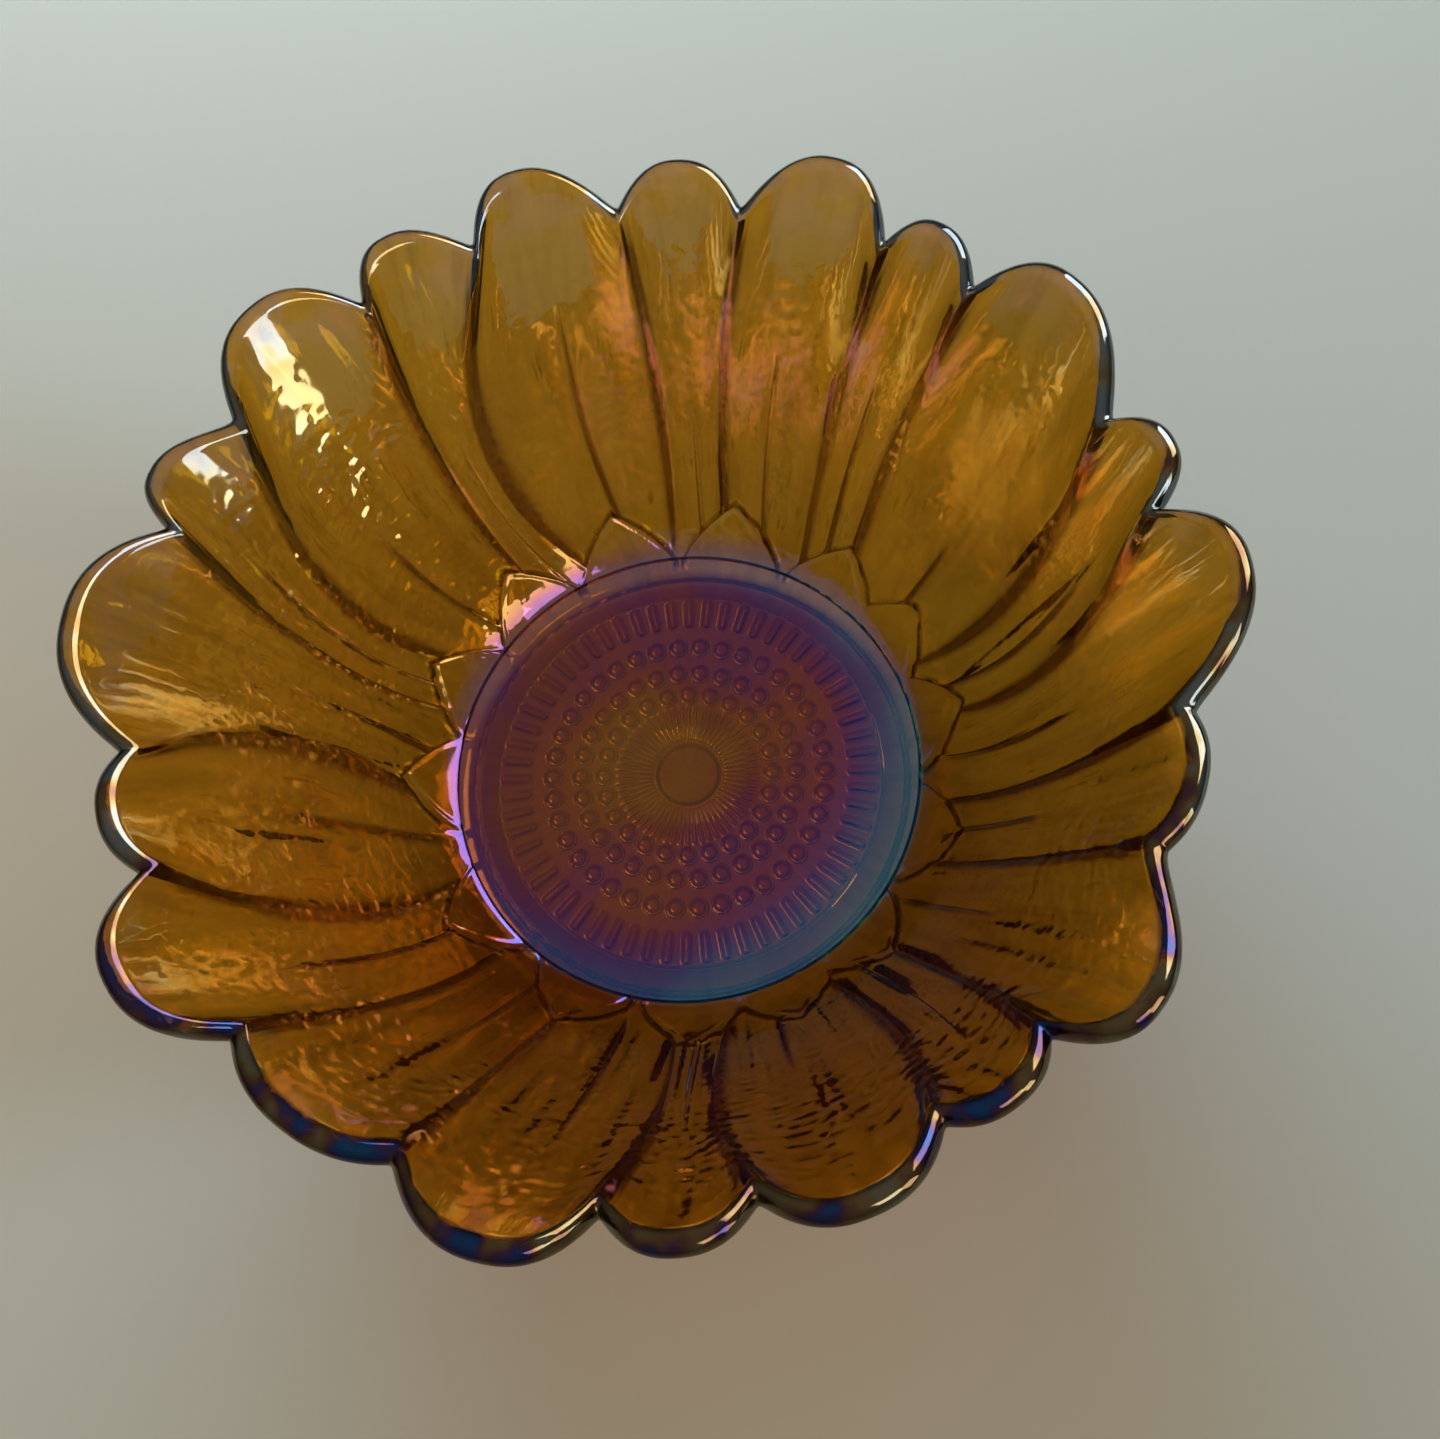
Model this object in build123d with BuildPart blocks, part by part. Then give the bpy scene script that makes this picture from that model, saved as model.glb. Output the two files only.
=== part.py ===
from build123d import *
from math import atan2, cos, pi, radians, sin
from itertools import accumulate
import os

# A pressed glass bowl shaped as an open sunflower, made in one shot of glass.
# Origin: middle of the plane the foot rests on. +Z up. Millimetres and degrees.

# Driving dimensions
overall_diameter = 178.0      # over the tips of the widest petals
overall_height = 75.0         # to the tips of the widest petals
floor_radius = 44.0           # the flat floor inside
floor_height = 9.0            # its top above the table
floor_thickness = 6.0         # glass between the floor and the foot's recess
wall_thickness = 4.2          # glass in the petals
wall_power = 1.4              # above 1 the wall turns up from the floor in a curve
foot_radius = 41.0            # outside of the foot ring
foot_width = 4.0              # how wide the foot ring is
foot_flare = 1.0              # how far it spreads towards the wall above it

# The petals, counter-clockwise. Full ones and slight ones take turns, and no two are quite alike.
# Widths and sways are in degrees, and a tip's place is in hundredths of the way across its petal.
first_notch = -9.0            # angle of the notch that the first petal starts from
petal_widths = [23, 12, 23, 12, 18, 15, 18, 15, 21, 15, 27, 14, 21, 21, 21, 15, 19, 13, 22, 15]
crease_sways = [-2, -8, -6, 3, 2, 3, -2, 11, 3, 10, 4, -9, 7, 2, -1, 3, -5, 4, 2, 0]
petal_fullness = [10, 6, 10, 6, 10, 7, 9, 7, 10, 6, 10, 4, 10, 4, 9, 6, 7, 4, 10, 3]
petal_tips = [60, 50, 60, 55, 45, 50, 60, 60, 50, 65, 50, 50, 50, 50, 55, 50, 50, 50, 35, 50]
fullest_petal = 10            # the fullness of a full petal
petal_reach = 8.0             # how far the tip of a full petal stands out past the notches
petal_lift = 6.0              # how far it stands above them
reach_power = 4               # the petals are nearly flat low down, and their tips flare out near the rim
lift_power = 2.5
petal_squareness = 2.4        # 2 is a plain parabola across the petal, more is blunter

# The sunflower's middle, in relief under the floor
button_radius = 5.9
button_height = 1.2
bead_rings = [(16.0, 24), (20.5, 30), (26.0, 38)]     # radius and number of beads
bead_radius = 1.7
bead_height = 0.8
rib_start = 30.0
rib_end = 36.5
rib_count = 60
rib_width = 1.0
rib_height = 0.6

# Derived sizes. Those of the wall are for the surface half way through the glass.
half_wall = wall_thickness / 2
half_floor = floor_thickness / 2
base_height = floor_height - half_floor
notch_radius = overall_diameter / 2 - petal_reach - half_wall
notch_height = overall_height - petal_lift - half_wall
notches = [first_notch + turn for turn in accumulate([0] + petal_widths)]
foot_height = floor_height - floor_thickness
bead_ball_radius = (bead_radius**2 + bead_height**2) / (2 * bead_height)

# Where the lines that shape the glass run
points_per_petal = 9
full_thinning_at = 0.25       # how far up the wall the floor's thickness lasts
wall_steps = [0, 0.05, 0.12, 0.22, 0.35, 0.5, 0.65, 0.8, 0.92, 1]
rim_turns = [45, 90, 135]     # degrees around the rounded rim


def glass_angle(petal, across, up):
    """The creases are straight at the floor and the rim, and sway sideways in between."""
    next_sway = crease_sways[(petal + 1) % len(petal_widths)]
    sway = crease_sways[petal] + (next_sway - crease_sways[petal]) * across
    return notches[petal] + petal_widths[petal] * across + sway * sin(pi * up)


def fullness(petal, across):
    """0 at the notches and up to 1 at the tip of a full petal, which need not be in its middle."""
    tip = petal_tips[petal] / 100
    leaned = across + (0.5 - tip) * across * (1 - across) / (tip * (1 - tip))
    return petal_fullness[petal] / fullest_petal * (1 - abs(2 * leaned - 1) ** petal_squareness)


def glass_point(petal, across, up, side, beyond=0.0):
    """A point in the wall. across runs from 0 to 1 over a petal, up from 0 at the floor to 1 at the rim.

    side is -1 on the inside of the glass and +1 on the outside. beyond is how far past the rim's
    middle line the point stands, in half thicknesses.
    """
    dome = fullness(petal, across)
    radius = floor_radius + (notch_radius - floor_radius) * up + petal_reach * dome * up**reach_power
    height = base_height + (notch_height - base_height) * up**wall_power
    height += petal_lift * dome * up**lift_power
    rise = wall_power * (notch_height - base_height) * up ** (wall_power - 1)
    slope = atan2(rise, notch_radius - floor_radius)
    thinning = min(1, up / full_thinning_at)
    half = half_floor + (half_wall - half_floor) * thinning
    radius += half * (side * sin(slope) + beyond * cos(slope))
    height += half * (beyond * sin(slope) - side * cos(slope))
    angle = radians(glass_angle(petal, across, up))
    return radius * cos(angle), radius * sin(angle), height


def closed_line(point_at):
    """A closed line around the bowl, with one curve for each petal."""
    with BuildLine() as line:
        for petal in range(len(petal_widths)):
            Spline(*[point_at(petal, i / (points_per_petal - 1)) for i in range(points_per_petal)])
    return line.wire()


def wall_line(up, side):
    return closed_line(lambda petal, across: glass_point(petal, across, up, side))


def rim_line(turn):
    side = -cos(radians(turn))
    beyond = sin(radians(turn))
    return closed_line(lambda petal, across: glass_point(petal, across, 1, side, beyond))


def foot_line(radius, height):
    def point_at(petal, across):
        angle = radians(glass_angle(petal, across, 0))
        return radius * cos(angle), radius * sin(angle), height

    return closed_line(point_at)


# The lines run up the inside of the wall, over the rim and down the outside to the foot.
shaping_lines = [wall_line(up, -1) for up in wall_steps]
shaping_lines += [rim_line(turn) for turn in rim_turns]
shaping_lines += [wall_line(up, 1) for up in reversed(wall_steps)]
shaping_lines += [
    foot_line(foot_radius + foot_flare, 0.85 * foot_height),
    foot_line(foot_radius + foot_flare / 3, 0.5 * foot_height),
    foot_line(foot_radius, 0),
]
body_of_glass = Solid.make_loft(shaping_lines)

with BuildPart() as glass_bowl:
    add(body_of_glass)
    with BuildSketch(Plane.XY):
        Circle(foot_radius - foot_width)
    extrude(amount=foot_height, mode=Mode.SUBTRACT)

    with BuildSketch(Plane.XY.offset(foot_height)):
        Circle(button_radius)
    extrude(amount=-button_height)
    for ring_radius, bead_count in bead_rings:
        with Locations((0, 0, foot_height - bead_height + bead_ball_radius)):
            with PolarLocations(ring_radius, bead_count):
                Sphere(bead_ball_radius)
    with BuildSketch(Plane.XY.offset(foot_height)):
        with PolarLocations((rib_start + rib_end) / 2, rib_count):
            Rectangle(rib_end - rib_start, rib_width)
    extrude(amount=-rib_height)

glass_bowl.part.label = "glass_bowl"
os.makedirs("parts", exist_ok=True)
export_step(glass_bowl.part, "parts/glass_bowl.step")
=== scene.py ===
import math

import bpy
import numpy as np
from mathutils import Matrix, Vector


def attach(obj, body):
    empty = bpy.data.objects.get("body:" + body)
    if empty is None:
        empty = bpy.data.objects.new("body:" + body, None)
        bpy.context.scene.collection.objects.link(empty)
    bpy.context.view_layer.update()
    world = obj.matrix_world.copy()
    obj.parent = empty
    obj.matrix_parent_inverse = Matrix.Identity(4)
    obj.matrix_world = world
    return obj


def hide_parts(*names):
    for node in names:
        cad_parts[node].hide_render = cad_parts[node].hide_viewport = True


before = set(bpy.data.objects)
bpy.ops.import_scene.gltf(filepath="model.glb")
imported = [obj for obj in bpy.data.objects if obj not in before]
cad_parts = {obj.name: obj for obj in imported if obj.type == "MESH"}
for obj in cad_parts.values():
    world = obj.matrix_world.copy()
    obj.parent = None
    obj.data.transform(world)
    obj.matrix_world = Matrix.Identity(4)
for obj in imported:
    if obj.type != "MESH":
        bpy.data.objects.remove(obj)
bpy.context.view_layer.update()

# The bowl's form, in millimetres and degrees, as the CAD node has it. Angles run counter-clockwise from +X.
MM = 0.001
overall_height = 75.0
overall_radius = 89.0
floor_radius = 44.0
floor_height = 9.0
floor_thickness = 6.0
wall_thickness = 4.2
wall_power = 1.4              # above 1 the wall turns up from the floor in a curve
wall_length = 75.0            # up the slope, between the 71 of a notch and the 80 of a full petal's tip
full_thinning_at = 0.25       # how far up the wall the floor's thickness lasts
foot_radius = 41.0
foot_width = 4.0
foot_height = floor_height - floor_thickness
foot_edge = 0.5               # rounding of the foot's edges

# The petals, counter-clockwise. Widths and sways are in degrees, fullness in tenths of a full petal, and a
# tip's place in hundredths of the way across its petal.
first_notch = -9.0
petal_widths = np.array([23, 12, 23, 12, 18, 15, 18, 15, 21, 15, 27, 14, 21, 21, 21, 15, 19, 13, 22, 15.0])
crease_sways = np.array([-2, -8, -6, 3, 2, 3, -2, 11, 3, 10, 4, -9, 7, 2, -1, 3, -5, 4, 2, 0.0])
petal_fullness = np.array([10, 6, 10, 6, 10, 7, 9, 7, 10, 6, 10, 4, 10, 4, 9, 6, 7, 4, 10, 3.0])
petal_tips = np.array([60, 50, 60, 55, 45, 50, 60, 60, 50, 65, 50, 50, 50, 50, 55, 50, 50, 50, 35, 50.0])
fullest_petal = 10.0
petal_reach = 8.0             # how far the tip of a full petal stands out past the notches
petal_lift = 6.0              # how far it stands above them
reach_power = 4               # the petals are nearly flat low down, and their tips flare out near the rim
lift_power = 2.5
petal_squareness = 2.4        # 2 is a plain parabola across the petal, more is blunter
notch_softness = 0.07         # rounds the bottom of each notch

half_wall = wall_thickness / 2
half_floor = floor_thickness / 2
notch_radius = overall_radius - petal_reach - half_wall
notch_height = overall_height - petal_lift - half_wall
base_height = floor_height - half_floor
notches = first_notch + np.concatenate([[0], np.cumsum(petal_widths)])

# The relief pressed into the glass
groove_depth = 0.45           # of the pressed lines, on the outside
groove_depth_inside = 0.25
# The dark of the pressed lines is painted shade, standing in for the light that the grooves bend away.
line_darkness = 1.6           # above 1 the darkest part of a line is wider than its deepest part
line_share_at_rim = 0.25      # how dark the lines stay at the rim
outline_width = 0.55          # of the line around each sepal
pebble_height = 0.13
pebble_height_inside = 0.36
streak_height = 0.8
wave_height = 0.25
sepal_turns = np.array([-17, 11, 33, 52, 79, 106, 132, 157, 182, 216, 245, 272, 294, 315.0])
sepal_tip = 53.0              # radius that the points of the sepals reach
sepal_half_width = 12.5       # degrees, where a sepal leaves the floor

# The sunflower's middle, in relief under the floor
button_radius = 5.9
button_height = 1.2
ray_count = 60
ray_end = 14.5
ray_height = 0.3
bead_rings = ((16.0, 24), (20.5, 30), (26.0, 38))     # radius and number of beads
bead_radius = 1.8
bead_height = 0.9
rib_start = 30.0
rib_end = 36.5
rib_count = 60
rib_height = 0.6

# How finely the glass is drawn
columns_per_petal = 48
wall_rows = 170
underside_rows = 130
floor_rows = 30
rim_rows = 14


# ------------------------------------------------------------------ columns and helpers
def make_columns():
    """Each column of the mesh is one petal number and one place across it, closer near creases and veins."""
    steps = np.arange(columns_per_petal) / columns_per_petal
    across = steps - 0.6 * np.sin(4 * np.pi * steps) / (4 * np.pi)
    petals = np.repeat(np.arange(len(petal_widths)), columns_per_petal)
    return petals, np.tile(across, len(petal_widths))


petal_of, across_of = make_columns()
width_of = petal_widths[petal_of]


def fullness():
    """0 at a notch and up to 1 at the tip of a full petal."""
    share = petal_fullness[petal_of] / fullest_petal
    tip = petal_tips[petal_of] / 100
    leaned = across_of + (0.5 - tip) * across_of * (1 - across_of) / (tip * (1 - tip))
    dome = 1 - np.abs(2 * leaned - 1) ** petal_squareness
    softened = np.sqrt(dome**2 + notch_softness**2) - notch_softness
    full = math.sqrt(1 + notch_softness**2) - notch_softness
    return share * (softened / full)


def glass_angle(up):
    """Angle of every column at the heights up, an upright array. Creases sway in between floor and rim."""
    sway_here = crease_sways[petal_of]
    sway_next = crease_sways[(petal_of + 1) % len(petal_widths)]
    sway = sway_here + (sway_next - sway_here) * across_of
    return notches[petal_of] + width_of * across_of + sway * np.sin(np.pi * up)


def upright(values):
    return np.asarray(values, float).reshape(-1, 1)


def half_thickness(up):
    return half_floor + (half_wall - half_floor) * np.minimum(1, up / full_thinning_at)


def wall_radius(up):
    """Radius of the creases at the heights up, half way through the glass."""
    return floor_radius + (notch_radius - floor_radius) * up


def wall_grid(up, offset, beyond=0.0):
    """Points of the wall: offset is the way out from the middle of the glass, beyond the way past the rim."""
    up = upright(up)
    radius = wall_radius(up) + petal_reach * fullness() * up**reach_power
    height = base_height + (notch_height - base_height) * up**wall_power
    height = height + petal_lift * fullness() * up**lift_power
    rise = wall_power * (notch_height - base_height) * up ** (wall_power - 1)
    slope = np.arctan2(rise, notch_radius - floor_radius)
    radius = radius + offset * np.sin(slope) + beyond * np.cos(slope)
    height = height - offset * np.cos(slope) + beyond * np.sin(slope)
    angle = np.radians(glass_angle(up))
    return np.stack([radius * np.cos(angle), radius * np.sin(angle), height], axis=-1)


def ring_grid(radii, heights):
    """Points of plain turned surface, such as the floor and the foot."""
    angle = np.radians(glass_angle(np.zeros((1, 1))))
    radii, heights = upright(radii), heights + np.zeros((len(radii), len(petal_of)))
    return np.stack([radii * np.cos(angle), radii * np.sin(angle), heights], axis=-1)


def smooth_step(low, high, x):
    t = np.clip((x - low) / (high - low), 0, 1)
    return t * t * (3 - 2 * t)


def ridge(distance, width):
    """1 on a line, and next to nothing beyond twice its width."""
    return np.exp(-((distance / width) ** 2))


def lattice_noise(points, cell, seed):
    """Smooth noise between 0 and 1 at points (..., 3), with one random value per cell."""
    side = 64
    table = np.random.default_rng(seed).random((side, side, side))
    place = points / cell + side
    corner = np.floor(place).astype(int)
    t = place - corner
    t = t * t * (3 - 2 * t)
    total = 0.0
    for dx in (0, 1):
        for dy in (0, 1):
            for dz in (0, 1):
                weight = (t[..., 0] if dx else 1 - t[..., 0]) * (t[..., 1] if dy else 1 - t[..., 1])
                weight = weight * (t[..., 2] if dz else 1 - t[..., 2])
                index = (corner + [dx, dy, dz]) % side
                total = total + weight * table[index[..., 0], index[..., 1], index[..., 2]]
    return total


# ------------------------------------------------------------------ relief pressed into the glass
def across_distance(up, place):
    """Millimetres from the line at place (0 to 1) across each petal."""
    return (across_of - place) * np.radians(width_of) * wall_radius(up)


def inside_sepal(up):
    """Millimetres inside the nearest sepal's outline, below zero outside it."""
    angle, radius = glass_angle(up), wall_radius(up)
    rise = np.clip((radius - floor_radius) / (sepal_tip - floor_radius), 0, 2)
    half_width = sepal_half_width * (1 - rise**1.6)
    deepest = -math.inf
    for turn in sepal_turns:
        away = np.abs((angle - turn + 180) % 360 - 180)
        deepest = np.maximum(deepest, (half_width - away) * np.radians(1) * radius)
    return deepest


def from_crease(up):
    """Millimetres from the nearest crease."""
    return np.minimum(np.abs(across_distance(up, 0)), np.abs(across_distance(up, 1)))


def crease_lines(up):
    """Dark pressed lines between the petals. Those that sway most are widest."""
    next_petal = (petal_of + 1) % len(petal_widths)
    sway = np.abs(np.where(across_of < 0.5, crease_sways[petal_of], crease_sways[next_petal]))
    width = 0.75 + (0.35 + 0.08 * sway) * np.sin(np.pi * up) ** 2
    return ridge(from_crease(up), width) * smooth_step(0.02, 0.12, up)


def vein_lines(up):
    """A line up each petal, a little to one side of its middle, that ends short of the tip."""
    place = 0.5 + 0.06 * np.sin(5.0 * petal_of)
    top = 0.72 + 0.16 * np.sin(2.3 * petal_of)
    ends = smooth_step(0.06, 0.16, up) * (1 - smooth_step(top - 0.2, top, up))
    return ridge(across_distance(up, place), 0.65 - 0.2 * up) * ends


def pebbles(points, up):
    """Small bumps in patches, in the left petals and near the tips on the near side, between -0.5 and 0.5."""
    fine = lattice_noise(points, cell=1.2, seed=3) - 0.5
    patches = smooth_step(0.4, 0.7, lattice_noise(points, cell=22.0, seed=5))
    on_near_side = 1 - smooth_step(-60.0, 0.0, points[..., 1])
    on_left = 1 - smooth_step(-60.0, -25.0, points[..., 0])
    tips = smooth_step(0.60, 0.75, up) * on_near_side
    left = smooth_step(0.2, 0.4, up) * (1 - smooth_step(0.72, 0.84, up)) * on_left
    strength = np.clip(0.12 + 0.2 * patches + 0.8 * tips + left * (1 - 0.6 * on_near_side), 0, 1)
    return fine * strength * smooth_step(0.04, 0.15, up)


def streaks(points, up):
    """Long waves that run up the petals, between -0.5 and 0.5."""
    waves_per_radian = 28.0
    waves_up = 3.0
    turn = np.arctan2(points[..., 1], points[..., 0])
    along = np.broadcast_to(up * waves_up, turn.shape)
    place = np.stack([turn * waves_per_radian, along, np.zeros_like(turn)], axis=-1)
    return (lattice_noise(place, cell=1.0, seed=17) - 0.5) * smooth_step(0.05, 0.25, up)


def wall_lines(up):
    """0 to 1, how dark and deep the pressed lines are at each point of the wall."""
    sepal = inside_sepal(up)
    outline = ridge(sepal, outline_width) * (1 - smooth_step(0.34, 0.4, up))
    clear_of_sepals = 1 - smooth_step(-0.4, 0.2, sepal)
    lines = np.maximum(crease_lines(up), 0.85 * vein_lines(up)) * clear_of_sepals
    return np.maximum(lines, outline)


def outside_wall(up):
    """Points of the outside of the wall, and how dark the painted shade in the pressed lines is there."""
    up = upright(up)
    half = half_thickness(up)
    lines = wall_lines(up)
    fade = 1 - smooth_step(0.93, 1.0, up)
    plain = wall_grid(up, half)
    bumps = pebble_height * pebbles(plain, up) + streak_height * streaks(plain, up)
    # The pressed lines are darkened with painted shade, fainter near the rim.
    shade_and_tone = np.clip(line_darkness * lines, 0, 1) * (line_share_at_rim + (1 - line_share_at_rim) * fade)
    return wall_grid(up, half + fade * (bumps - groove_depth * lines)), shade_and_tone


def inside_wall(up):
    up = upright(up)
    plain = wall_grid(up, -half_thickness(up))
    wave = lattice_noise(plain, cell=9.0, seed=11) - 0.5
    fade = smooth_step(0.0, 0.1, up) * (1 - smooth_step(0.9, 1.0, up))
    bumps = wave_height * wave + pebble_height_inside * pebbles(plain, up)
    return wall_grid(up, fade * (bumps + groove_depth_inside * wall_lines(up)) - half_thickness(up))


def from_bead(radii, angle, ring_radius, count):
    """Millimetres from the middle of the nearest bead in a ring."""
    step = 2 * math.pi / count
    turn = (angle + step / 2) % step - step / 2
    return np.sqrt((radii - ring_radius) ** 2 + (turn * ring_radius) ** 2)


def underside(radii):
    """The sunflower's middle under the floor: a button, fine rays, rings of beads and a fringe of ribs."""
    radii = upright(radii)
    angle = np.radians(glass_angle(np.zeros((1, 1))))
    relief = button_height * (1 - smooth_step(button_radius - 0.5, button_radius + 0.4, radii))
    # The darkness here is painted shade: round the button, between the rays, round each bead and between the
    # ribs.
    shade_and_tone = 0.5 * ridge(radii - button_radius, 0.5)
    rays = smooth_step(button_radius + 0.4, button_radius + 1.6, radii)
    rays = rays * (1 - smooth_step(ray_end - 1.5, ray_end, radii))
    relief = relief + ray_height * rays * (0.5 + 0.5 * np.cos(ray_count * angle))
    shade_and_tone = shade_and_tone + 0.35 * rays * (0.5 - 0.5 * np.cos(ray_count * angle)) ** 2
    for ring_radius, count in bead_rings:
        away = from_bead(radii, angle, ring_radius, count)
        relief = relief + bead_height * np.sqrt(np.clip(1 - (away / bead_radius) ** 2, 0, 1))
        shade_and_tone = shade_and_tone + 0.6 * ridge(away - 1.5, 0.5)
    fringe = smooth_step(rib_start, rib_start + 1.0, radii) * (1 - smooth_step(rib_end - 0.8, rib_end, radii))
    relief = relief + rib_height * fringe * (0.5 + 0.5 * np.cos(rib_count * angle)) ** 2
    shade_and_tone = shade_and_tone + 0.6 * fringe * (0.5 - 0.5 * np.cos(rib_count * angle)) ** 4
    return ring_grid(radii[:, 0], foot_height - relief), np.clip(shade_and_tone, 0, 1)


# ------------------------------------------------------------------ the mesh
def foot_ring():
    """Points from under the wall, round the foot ring and into the recess."""
    turn = np.linspace(0, math.pi / 2, 6)
    radii = np.concatenate([
        [foot_radius + 1.6, foot_radius + 0.8, foot_radius + 0.3],
        foot_radius - foot_edge + foot_edge * np.cos(turn),
        foot_radius - foot_width + foot_edge - foot_edge * np.sin(turn),
        [foot_radius - foot_width],
    ])
    heights = np.concatenate([
        [foot_height - 0.25, foot_height - 0.8, foot_height / 2],
        foot_edge - foot_edge * np.sin(turn),
        foot_edge - foot_edge * np.cos(turn),
        [foot_height - foot_edge],
    ])
    return ring_grid(radii, upright(heights))


def rounded_rim():
    turn = upright(np.linspace(0, math.pi, rim_rows)[1:-1])
    return wall_grid(np.ones(len(turn)), -half_wall * np.cos(turn), half_wall * np.sin(turn))


def closed_mesh(grid, values):
    """A mesh through rows of points that close on themselves, with a cap over the first row and the last."""
    rows, columns = grid.shape[:2]
    index = np.arange(rows * columns).reshape(rows, columns)
    right = np.roll(index, -1, axis=1)
    quads = np.stack([index[1:], right[1:], right[:-1], index[:-1]], axis=-1).reshape(-1, 4)
    caps = [index[0].tolist(), index[-1][::-1].tolist()]
    mesh = bpy.data.meshes.new("bowl")
    mesh.from_pydata((grid.reshape(-1, 3) * MM).tolist(), [], quads.tolist() + caps)
    mesh.validate()
    mesh.polygons.foreach_set("use_smooth", np.ones(len(mesh.polygons), bool))
    for name, rows_of_values in values.items():
        attribute = mesh.attributes.new(name, "FLOAT", "POINT")
        attribute.data.foreach_set("value", np.concatenate(rows_of_values).ravel().astype(np.float32))
    mesh.update()
    return mesh


def build_bowl():
    """One closed surface: floor, inside wall, rim, outside wall, foot and underside.

    Each point carries what the material needs: shade_and_tone is how dark the painted shade of a pressed line
    is there, outside is 1 on the back of the glass, up is the share of the way up the wall, near is
    millimetres from a crease, and petal is the number of its petal.
    """
    blocks = []
    # The first of these values carries the painted shade of the pressed lines.
    values = {"shade_and_tone": [], "outside": [], "up": [], "near": [], "petal": []}

    def add_block(points, shade_and_tone=0.0, outside=0.0, up=0.0):
        blocks.append(points)
        here = {"shade_and_tone": shade_and_tone, "outside": outside, "up": up, "near": from_crease(up), "petal": petal_of}
        for name, value in here.items():
            values[name].append(np.broadcast_to(value, points.shape[:2]))

    inside_up = upright(np.linspace(0, 1, wall_rows))
    outside_up = inside_up[::-1]
    add_block(ring_grid(np.linspace(1.0, floor_radius - 0.8, floor_rows), floor_height))
    add_block(inside_wall(inside_up), up=inside_up)
    add_block(rounded_rim(), up=1.0)
    points, lines = outside_wall(outside_up)
    add_block(points, shade_and_tone=lines, outside=1.0, up=outside_up)
    add_block(foot_ring(), outside=1.0)
    points, lines = underside(np.linspace(foot_radius - foot_width - 0.3, 0.4, underside_rows))
    add_block(points, shade_and_tone=lines, outside=1.0)

    piece = bpy.data.objects.new("bowl_glass", closed_mesh(np.concatenate(blocks), values))
    bpy.context.scene.collection.objects.link(piece)
    return piece


# ------------------------------------------------------------------ shader helpers
def new_material(name):
    material = bpy.data.materials.new(name)
    material.use_nodes = True
    material.node_tree.nodes.clear()
    return material, material.node_tree


def add_node(tree, kind, settings=None, **inputs):
    """A shader node, with settings on the node and inputs given as values or as sockets to link from."""
    node = tree.nodes.new("ShaderNode" + kind)
    for name, value in (settings or {}).items():
        setattr(node, name, value)
    for name, value in inputs.items():
        socket = node.inputs[int(name[1:])] if name[1:].isdigit() else node.inputs[name.replace("_", " ")]
        if isinstance(value, bpy.types.NodeSocket):
            tree.links.new(value, socket)
        else:
            socket.default_value = value
    return node


def remap(tree, value, low, high, to_low, to_high):
    """A smooth change from to_low at low to to_high at high, and level beyond them."""
    limits = {"From_Min": low, "From_Max": high, "To_Min": to_low, "To_Max": to_high}
    node = add_node(tree, "MapRange", {"interpolation_type": "SMOOTHSTEP"}, Value=value, **limits)
    return node.outputs["Result"]


def calculate(tree, operation, first, second):
    return add_node(tree, "Math", {"operation": operation}, _0=first, _1=second).outputs[0]


def multiply(tree, first, second):
    return calculate(tree, "MULTIPLY", first, second)


def divide(tree, first, second):
    return calculate(tree, "DIVIDE", first, second)


def add_up(tree, *parts):
    total = parts[0]
    for part in parts[1:]:
        total = calculate(tree, "ADD", total, part)
    return total


def vector_math(tree, operation, *vectors):
    inputs = {f"_{i}": vector for i, vector in enumerate(vectors)}
    node = add_node(tree, "VectorMath", {"operation": operation}, **inputs)
    return node.outputs["Value" if operation in ("LENGTH", "DOT_PRODUCT") else "Vector"]


def mix_colors(tree, share, first, second):
    node = add_node(tree, "Mix", {"data_type": "RGBA"}, Factor=share, _6=first, _7=second)
    return node.outputs["Result"]


def attribute_of(tree, name):
    return add_node(tree, "Attribute", {"attribute_name": name}).outputs["Fac"]


def noise_in(tree, place, scale, detail):
    """Smooth noise between 0 and 1, with scale cells to the metre."""
    return add_node(tree, "TexNoise", Vector=place, Scale=scale, Detail=detail).outputs["Fac"]


def noise_over(tree, x, y, z, detail=1.0):
    """Smooth noise between 0 and 1 that changes over about one unit of x, y and z."""
    place = add_node(tree, "CombineXYZ", X=x, Y=y, Z=z).outputs[0]
    return noise_in(tree, place, 1.0, detail)


# ------------------------------------------------------------------ the glass
# What the film reflects goes by its thickness in nanometres: gold near 100, purple near 125, blue near 150.
plain_film = 104.0
film_index = 2.1
film_index_at_rim = 1.88
glass_index = 1.52
glass_color = (0.86, 0.82, 0.17, 1)       # what the depth of the glass lets through
glass_density = 560.0
floor_tint = (1.0, 0.50, 0.20, 1)
petal_tint = (0.95, 0.53, 0.22, 1)
shade_and_tone_color = (0.045, 0.018, 0.006, 1)      # painted shade of the pressed lines and strokes, and the deeper amber of the soft bands
facing_shade = (1.0, 0.63, 0.28, 1)       # light that goes straight through to the table
slanting_shade = (0.84, 0.43, 0.15, 1)


def film_on_floor(tree, flat):
    """How much thicker the film is on the floor: purple half way out, then blue towards its edge."""
    middle = (-5.0, 3.0, 0.0)
    from_middle = vector_math(tree, "LENGTH", vector_math(tree, "SUBTRACT", flat, middle))
    purple = remap(tree, from_middle, 8.0, 24.0, 6.0, 17.0)
    blue = remap(tree, from_middle, 30.0, 47.0, 0.0, 36.0)
    back_at_wall = remap(tree, vector_math(tree, "LENGTH", flat), 42.0, 50.0, 0.0, -52.0)
    return add_up(tree, purple, blue, back_at_wall)


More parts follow.
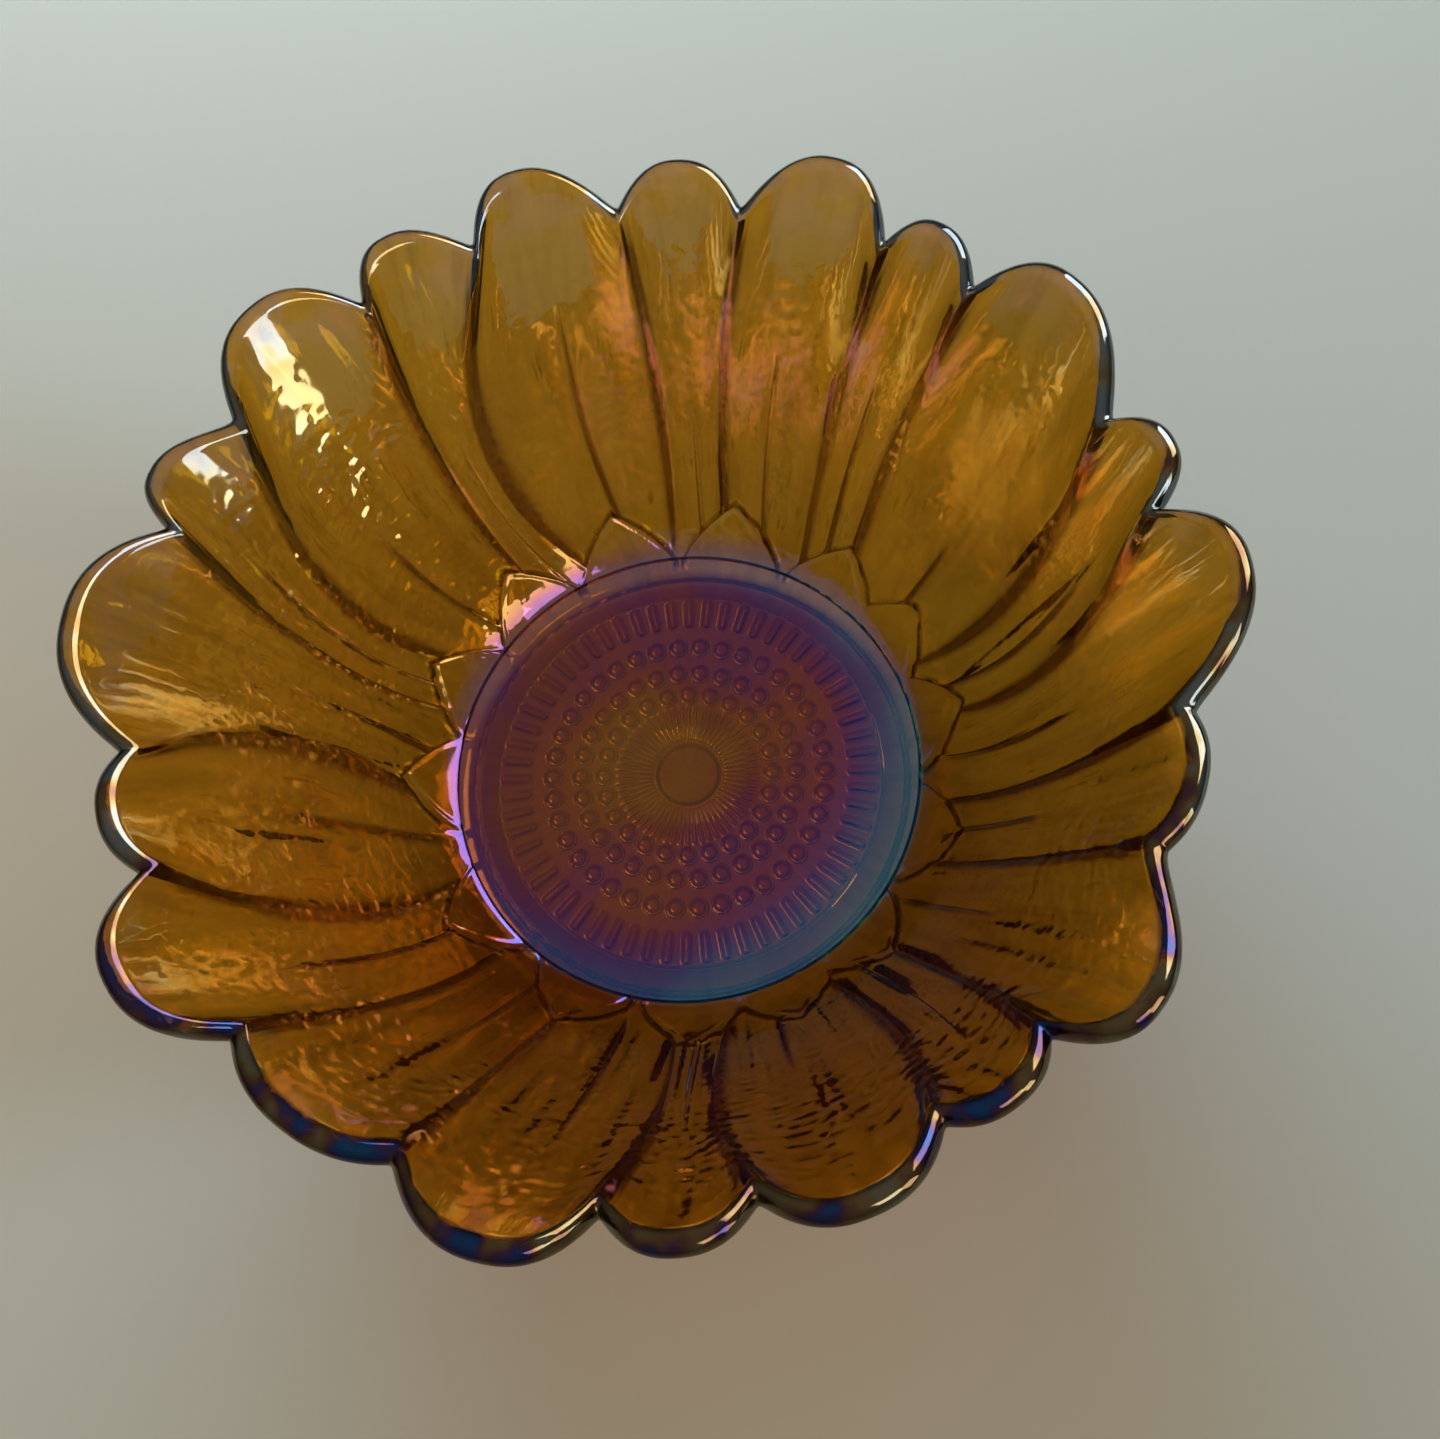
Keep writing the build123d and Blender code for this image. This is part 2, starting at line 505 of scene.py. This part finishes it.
def film_on_near_petals(tree, toward_back, up):
    """Purple half way up the near petals, and redder towards their tips."""
    above_floor = remap(tree, up, 0.05, 0.3, 0.0, 1.0)
    near_side = multiply(tree, above_floor, remap(tree, toward_back, -60.0, -5.0, 1.0, 0.0))
    return multiply(tree, near_side, remap(tree, up, 0.5, 0.8, 20.0, 8.0))


def film_on_far_tips(tree, flat, up):
    """Thinner and paler at the tips of the petals at the far left."""
    far_left = vector_math(tree, "DOT_PRODUCT", flat, (-0.5, 0.87, 0))
    toward_tip = remap(tree, up, 0.3, 0.95, 0.0, 1.0)
    return multiply(tree, toward_tip, remap(tree, far_left, 0.0, 55.0, 0.0, -20.0))


def film_on_rim(tree, place, toward_back, up):
    """Patches of different colours along the rim."""
    patches = remap(tree, noise_in(tree, place, 130.0, 2.0), 0.35, 0.65, -32.0, 32.0)
    change = add_up(tree, remap(tree, toward_back, -70.0, 10.0, 20.0, -10.0), patches)
    return multiply(tree, remap(tree, up, 0.9, 1.0, 0.0, 1.0), change)


def film_thickness(tree, place):
    """Nanometres of the fired-on film: gold on the petals, purple then blue towards the edge of the floor."""
    up = attribute_of(tree, "up")
    flat = vector_math(tree, "MULTIPLY", place, (1 / MM, 1 / MM, 0))
    toward_back = add_node(tree, "SeparateXYZ", Vector=flat).outputs["Y"]
    drift = remap(tree, noise_in(tree, place, 38.0, 3.0), 0.35, 0.7, -5.0, 9.0)
    return add_up(
        tree, film_on_floor(tree, flat), film_on_near_petals(tree, toward_back, up),
        film_on_far_tips(tree, flat, up), drift, film_on_rim(tree, place, toward_back, up), plain_film,
    )


def short_strokes(tree, place, near, along, petal):
    """Short dark strokes that run along the petals, in patches."""
    dash = noise_over(tree, divide(tree, near, 0.5), divide(tree, along, 6.0), petal)
    patches = remap(tree, noise_in(tree, place, 75.0, 1.0), 0.50, 0.60, 0.0, 1.0)
    return multiply(tree, remap(tree, dash, 0.60, 0.68, 0.0, 1.0), patches)


def hatching(tree, near, along, petal):
    """Fine slanting lines beside the creases."""
    slant = calculate(tree, "SUBTRACT", along, multiply(tree, near, 3.0))
    hatch = noise_over(tree, divide(tree, near, 1.4), divide(tree, slant, 0.45), petal)
    off_the_crease = remap(tree, near, 0.4, 1.2, 0.0, 1.0)
    beside = multiply(tree, off_the_crease, remap(tree, near, 3.0, 7.0, 1.0, 0.0))
    return multiply(tree, remap(tree, hatch, 0.50, 0.70, 0.0, 0.5), beside)


def pressed_strokes(tree, place):
    """0 to 1, how dark the painted shade of the fine pressed strokes on the back of the petals is."""
    up = attribute_of(tree, "up")
    near = attribute_of(tree, "near")
    along = multiply(tree, up, wall_length)
    petal = multiply(tree, attribute_of(tree, "petal"), 7.3)      # far apart, so no two petals match
    dashes = short_strokes(tree, place, near, along, petal)
    strokes = calculate(tree, "MAXIMUM", dashes, hatching(tree, near, along, petal))
    ends = multiply(tree, remap(tree, up, 0.1, 0.2, 0.0, 1.0), remap(tree, up, 0.78, 0.92, 1.0, 0.0))
    strokes = multiply(tree, strokes, ends)
    return multiply(tree, strokes, attribute_of(tree, "outside"))


def soft_bands(tree):
    """Long soft bands up the petals where the glass is a little deeper in colour."""
    across = divide(tree, attribute_of(tree, "near"), 3.5)
    along = multiply(tree, attribute_of(tree, "up"), 3.0)
    petal = multiply(tree, attribute_of(tree, "petal"), 3.1)      # far apart, so no two petals match
    bands = remap(tree, noise_over(tree, across, along, petal, detail=4.0), 0.40, 0.70, 0.0, 0.38)
    return multiply(tree, bands, attribute_of(tree, "outside"))


def glass_tint(tree, place, up):
    """Clear amber, with painted shade in the pressed lines and the strokes, and deeper amber in the soft
    bands.
    """
    strokes = multiply(tree, pressed_strokes(tree, place), 0.55)
    shade_and_tone = calculate(tree, "MAXIMUM", attribute_of(tree, "shade_and_tone"), strokes)
    shade_and_tone = calculate(tree, "MAXIMUM", shade_and_tone, soft_bands(tree))
    clear = mix_colors(tree, remap(tree, up, 0.0, 0.12, 0.0, 1.0), floor_tint, petal_tint)
    return mix_colors(tree, shade_and_tone, clear, shade_and_tone_color)


def straight_through(tree):
    """Light that reaches the table through the glass goes straight on, so it makes no grainy caustics."""
    facing = add_node(tree, "LayerWeight", Blend=0.5).outputs["Facing"]
    shade = mix_colors(tree, remap(tree, facing, 0.2, 0.9, 0.0, 1.0), facing_shade, slanting_shade)
    return add_node(tree, "BsdfTransparent", Color=shade).outputs[0]


def amber_glass():
    material, tree = new_material("amber_carnival_glass")
    place = add_node(tree, "TexCoord").outputs["Object"]
    up = attribute_of(tree, "up")
    grain = noise_in(tree, place, 900.0, 2.0)
    grain_strength = multiply(tree, attribute_of(tree, "outside"), 0.12)
    bump = add_node(tree, "Bump", Strength=grain_strength, Distance=0.0002, Height=grain)
    smear = noise_in(tree, place, 60.0, 4.0)
    glass = add_node(
        tree, "BsdfPrincipled", Base_Color=glass_tint(tree, place, up),
        Roughness=remap(tree, smear, 0.35, 0.75, 0.02, 0.10), IOR=glass_index, Transmission_Weight=1.0,
        Thin_Film_Thickness=film_thickness(tree, place),
        Thin_Film_IOR=remap(tree, up, 0.9, 1.0, film_index, film_index_at_rim),
        Normal=bump.outputs["Normal"],
    )
    path = add_node(tree, "LightPath").outputs
    straight = calculate(tree, "MAXIMUM", path["Is Shadow Ray"], path["Is Diffuse Ray"])
    through = straight_through(tree)
    surface = add_node(tree, "MixShader", _0=straight, _1=glass.outputs[0], _2=through).outputs[0]
    depth = add_node(tree, "VolumeAbsorption", Color=glass_color, Density=glass_density).outputs[0]
    add_node(tree, "OutputMaterial", Surface=surface, Volume=depth)
    return material


# ------------------------------------------------------------------ the stage, in metres
def pale_table():
    material, tree = new_material("pale_table")
    paint = add_node(tree, "BsdfDiffuse", Color=(0.72, 0.72, 0.69, 1)).outputs[0]
    add_node(tree, "OutputMaterial", Surface=paint)
    return material


def build_table():
    just_under_the_foot = -0.0002
    bpy.ops.mesh.primitive_plane_add(size=4.0, location=(0, 0, just_under_the_foot))
    table = bpy.context.object
    table.name = "table"
    table.data.materials.append(pale_table())


def build_room():
    """A room that is dim at the horizon and paler overhead."""
    world = bpy.data.worlds.new("room")
    world.use_nodes = True
    tree = world.node_tree
    tree.nodes.clear()
    direction = add_node(tree, "SeparateXYZ", Vector=add_node(tree, "TexCoord").outputs["Generated"]).outputs
    # What shows in the glass: a pale ceiling, and a bright wall on the near side that isn't very high.
    ceiling = remap(tree, direction["Z"], 0.0, 1.0, 0.11, 0.38)
    near_wall = remap(tree, direction["Y"], -0.7, -0.1, 0.09, 0.0)
    near_wall = multiply(tree, near_wall, remap(tree, direction["Z"], 0.3, 0.7, 1.0, 0.0))
    seen = add_up(tree, ceiling, near_wall)
    shown = add_node(tree, "Background", Color=(0.97, 0.99, 1.0, 1), Strength=seen)
    # What lights the table: the same room, warmer for all the light that has been through amber glass.
    glow = remap(tree, direction["Z"], 0.0, 1.0, 0.15, 0.28)
    warm = add_node(tree, "Background", Color=(0.80, 0.74, 0.42, 1), Strength=glow)
    on_table = add_node(tree, "LightPath").outputs["Is Diffuse Ray"]
    back = add_node(tree, "MixShader", _0=on_table, _1=shown.outputs[0], _2=warm.outputs[0]).outputs[0]
    add_node(tree, "OutputWorld", Surface=back)
    bpy.context.scene.world = world


def add_softbox(name, place, target, size, power, color):
    light = bpy.data.lights.new(name, "AREA")
    light.shape = "RECTANGLE"
    light.size, light.size_y = size
    light.energy = power
    light.color = color
    holder = bpy.data.objects.new(name, light)
    holder.location = place
    holder.rotation_euler = (Vector(target) - Vector(place)).to_track_quat("-Z", "Y").to_euler()
    bpy.context.scene.collection.objects.link(holder)
    return holder


def build_windows():
    """Soft windows that show in the glass, and leave the table to the fills."""
    windows = [
        add_softbox("window", (0.82, 0.75, 0.85), (0, 0, 0.05), (1.1, 1.0), 16.0, (0.94, 0.98, 1.0)),
        add_softbox("side_window", (0.90, -0.48, 0.50), (0, 0, 0.06), (0.28, 0.60), 1.9, (0.90, 0.97, 1.0)),
        add_softbox("corner_window", (0.6, -0.7, 0.8), (0, 0, 0.06), (0.5, 0.4), 2.4, (0.94, 0.98, 1.0)),
    ]
    for window in windows:
        window.visible_diffuse = False


def build_fills():
    """Lights that only reach the table. The amber one is light that the bowl throws to the left."""
    glow_place, glow_target = (-0.30, -0.12, 0.16), (-0.16, -0.06, 0)
    fills = [
        add_softbox("side_fill", (1.5, -0.1, 0.40), (0, 0, 0), (0.4, 0.3), 12.2, (0.64, 0.81, 1.0)),
        add_softbox("back_fill", (-0.15, 0.60, 0.35), (0, 0, 0), (0.5, 0.3), 2.7, (0.79, 0.91, 1.0)),
        add_softbox("amber_glow", glow_place, glow_target, (0.2, 0.2), 0.07, (1.0, 0.40, 0.02)),
    ]
    for fill in fills:
        fill.visible_glossy = False
        fill.visible_transmission = False


def build_camera():
    """It looks down into the bowl from over its near side, fitted to the photo's rim and floor."""
    camera = bpy.data.cameras.new("camera")
    camera.lens = 36.05
    holder = bpy.data.objects.new("camera", camera)
    holder.location = (0.0298, -0.0828, 0.2656)
    holder.rotation_euler = (math.radians(19.7), math.radians(5.2), 0)
    bpy.context.scene.collection.objects.link(holder)
    bpy.context.scene.camera = holder
    bpy.context.scene.view_settings.view_transform = "Standard"
    bpy.context.scene.view_settings.look = "Medium High Contrast"


bowl = build_bowl()
bowl.data.materials.append(amber_glass())
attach(bowl, "root")
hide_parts("glass_bowl")
build_table()
build_room()
build_windows()
build_fills()
build_camera()
